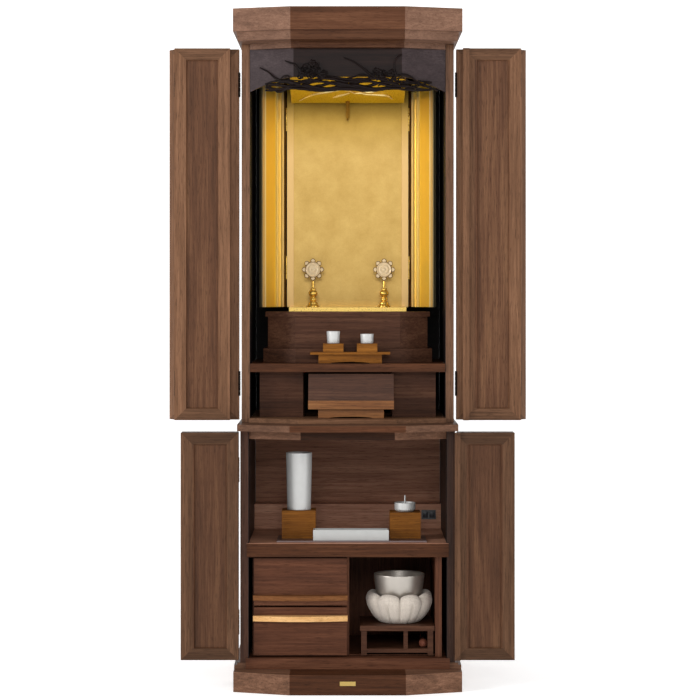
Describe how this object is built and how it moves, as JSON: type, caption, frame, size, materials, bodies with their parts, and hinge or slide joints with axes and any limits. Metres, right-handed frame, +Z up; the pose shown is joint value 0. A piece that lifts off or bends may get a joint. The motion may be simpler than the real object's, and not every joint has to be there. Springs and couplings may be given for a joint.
{
  "type": "household altar cabinet",
  "caption": "Two-tier wooden altar cabinet with open bifold doors, gilt niche and folding gold wings, carved branch, chest of drawers, and its altar fittings in place.",
  "frame": {"origin": "middle of the underside of the bounding box with the doors open", "axes": "+Z up, front faces -Y, +X to the right seen from the front"},
  "size_m": [0.7184, 0.4, 1.35],
  "materials": {
    "walnut": "satin walnut veneer with open grain",
    "walnut_dark": "dark stained walnut, satin",
    "amber_wood": "clear lacquered amber wood",
    "maple": "light wood strip, satin",
    "gold_leaf": "gold leaf over lacquer",
    "brass": "brushed brass",
    "satin_silver": "satin silver metal",
    "crystal": "clear pale crystal",
    "cloth": "woven off-white cloth, padded",
    "black_plastic": "matte black plastic"
  },
  "bodies": {
    "root": {"altar_shelf": "walnut", "altar_tray": "walnut_dark", "bell_bowl": "satin_silver", "bell_cushion": "cloth", "bell_stand": "walnut", "book_rest": "walnut", "branch_carving": "walnut_dark", "candle_block": "amber_wood", "candle_cup": "satin_silver", "chest": "walnut", "cornice": "walnut", "cup_block_rice": "amber_wood", "cup_block_tea": "amber_wood", "flower_blossom_left": "crystal", "flower_blossom_right": "crystal", "flower_stand_left": "brass", "flower_stand_right": "brass", "gold_ceiling": "gold_leaf", "gold_ledge": "gold_leaf", "gold_screen": "gold_leaf", "incense_burner": "satin_silver", "lower_back": "walnut_dark", "lower_floor": "walnut", "lower_header": "walnut", "lower_side_left": "walnut", "lower_side_right": "walnut", "name_plate": "brass", "offering_stand": "amber_wood", "pedestal": "walnut", "plinth": "walnut", "power_ledge": "walnut", "power_outlet": "black_plastic", "rice_cup": "satin_silver", "step_box_left": "walnut", "step_box_right": "walnut", "striker": "walnut", "table_board": "walnut", "tea_cup": "satin_silver", "upper_back": "walnut_dark", "upper_floor": "walnut", "upper_side_left": "walnut", "upper_side_right": "walnut", "valance": "walnut_dark", "vase": "satin_silver", "vase_block": "amber_wood", "waist_slab": "walnut"},
    "door_upper_left_inner": {"door_upper_left_inner": "walnut"},
    "door_upper_left_outer": {"door_upper_left_outer": "walnut"},
    "door_upper_right_inner": {"door_upper_right_inner": "walnut"},
    "door_upper_right_outer": {"door_upper_right_outer": "walnut"},
    "door_lower_left_inner": {"door_lower_left_inner": "walnut"},
    "door_lower_left_outer": {"door_lower_left_outer": "walnut"},
    "door_lower_right_inner": {"door_lower_right_inner": "walnut"},
    "door_lower_right_outer": {"door_lower_right_outer": "walnut"},
    "drawer_upper": {"drawer_upper": "walnut", "drawer_pull_upper": "maple"},
    "drawer_lower": {"drawer_lower": "walnut", "drawer_pull_lower": "maple"},
    "gold_wing_left": {"gold_wing_left": "gold_leaf"},
    "gold_wing_right": {"gold_wing_right": "gold_leaf"}
  },
  "joints": [
    {"name": "upper_left_door_hinge", "type": "hinge", "parent": "root", "child": "door_upper_left_inner", "pos_m": [-0.2175, -0.094, 0.5335], "axis": [0, 0, -1], "range_deg": [-144.5, 0]},
    {"name": "upper_left_door_fold", "type": "hinge", "parent": "door_upper_left_inner", "child": "door_upper_left_outer", "pos_m": [-0.347, -0.0945, 0.5335], "axis": [0, 0, -1], "range_deg": [0, 144.5]},
    {"name": "upper_right_door_hinge", "type": "hinge", "parent": "root", "child": "door_upper_right_inner", "pos_m": [0.2175, -0.094, 0.5335], "axis": [0, 0, 1], "range_deg": [-144.5, 0]},
    {"name": "upper_right_door_fold", "type": "hinge", "parent": "door_upper_right_inner", "child": "door_upper_right_outer", "pos_m": [0.347, -0.0945, 0.5335], "axis": [0, 0, 1], "range_deg": [0, 144.5]},
    {"name": "lower_left_door_hinge", "type": "hinge", "parent": "root", "child": "door_lower_left_inner", "pos_m": [-0.2175, -0.135, 0.061], "axis": [0, 0, -1], "range_deg": [-160.9, 0]},
    {"name": "lower_left_door_fold", "type": "hinge", "parent": "door_lower_left_inner", "child": "door_lower_left_outer", "pos_m": [-0.3284, -0.1355, 0.061], "axis": [0, 0, -1], "range_deg": [0, 160.9]},
    {"name": "lower_right_door_hinge", "type": "hinge", "parent": "root", "child": "door_lower_right_inner", "pos_m": [0.2175, -0.135, 0.061], "axis": [0, 0, 1], "range_deg": [-160.9, 0]},
    {"name": "lower_right_door_fold", "type": "hinge", "parent": "door_lower_right_inner", "child": "door_lower_right_outer", "pos_m": [0.3284, -0.1355, 0.061], "axis": [0, 0, 1], "range_deg": [0, 160.9]},
    {"name": "drawer_upper_slide", "type": "slide", "parent": "root", "child": "drawer_upper", "axis": [0, -1, 0], "range_m": [0, 0.18]},
    {"name": "drawer_lower_slide", "type": "slide", "parent": "root", "child": "drawer_lower", "axis": [0, -1, 0], "range_m": [0, 0.18]},
    {"name": "gold_wing_left_hinge", "type": "hinge", "parent": "root", "child": "gold_wing_left", "pos_m": [-0.132, 0.06, 0.758], "axis": [0, 0, 1], "range_deg": [-15, 45]},
    {"name": "gold_wing_right_hinge", "type": "hinge", "parent": "root", "child": "gold_wing_right", "pos_m": [0.132, 0.06, 0.758], "axis": [0, 0, -1], "range_deg": [-15, 45]}
  ],
  "couplings": [
    {"joint": "upper_left_door_fold", "follows": "upper_left_door_hinge", "ratio": -1},
    {"joint": "upper_right_door_fold", "follows": "upper_right_door_hinge", "ratio": -1},
    {"joint": "lower_left_door_fold", "follows": "lower_left_door_hinge", "ratio": -1},
    {"joint": "lower_right_door_fold", "follows": "lower_right_door_hinge", "ratio": -1}
  ]
}
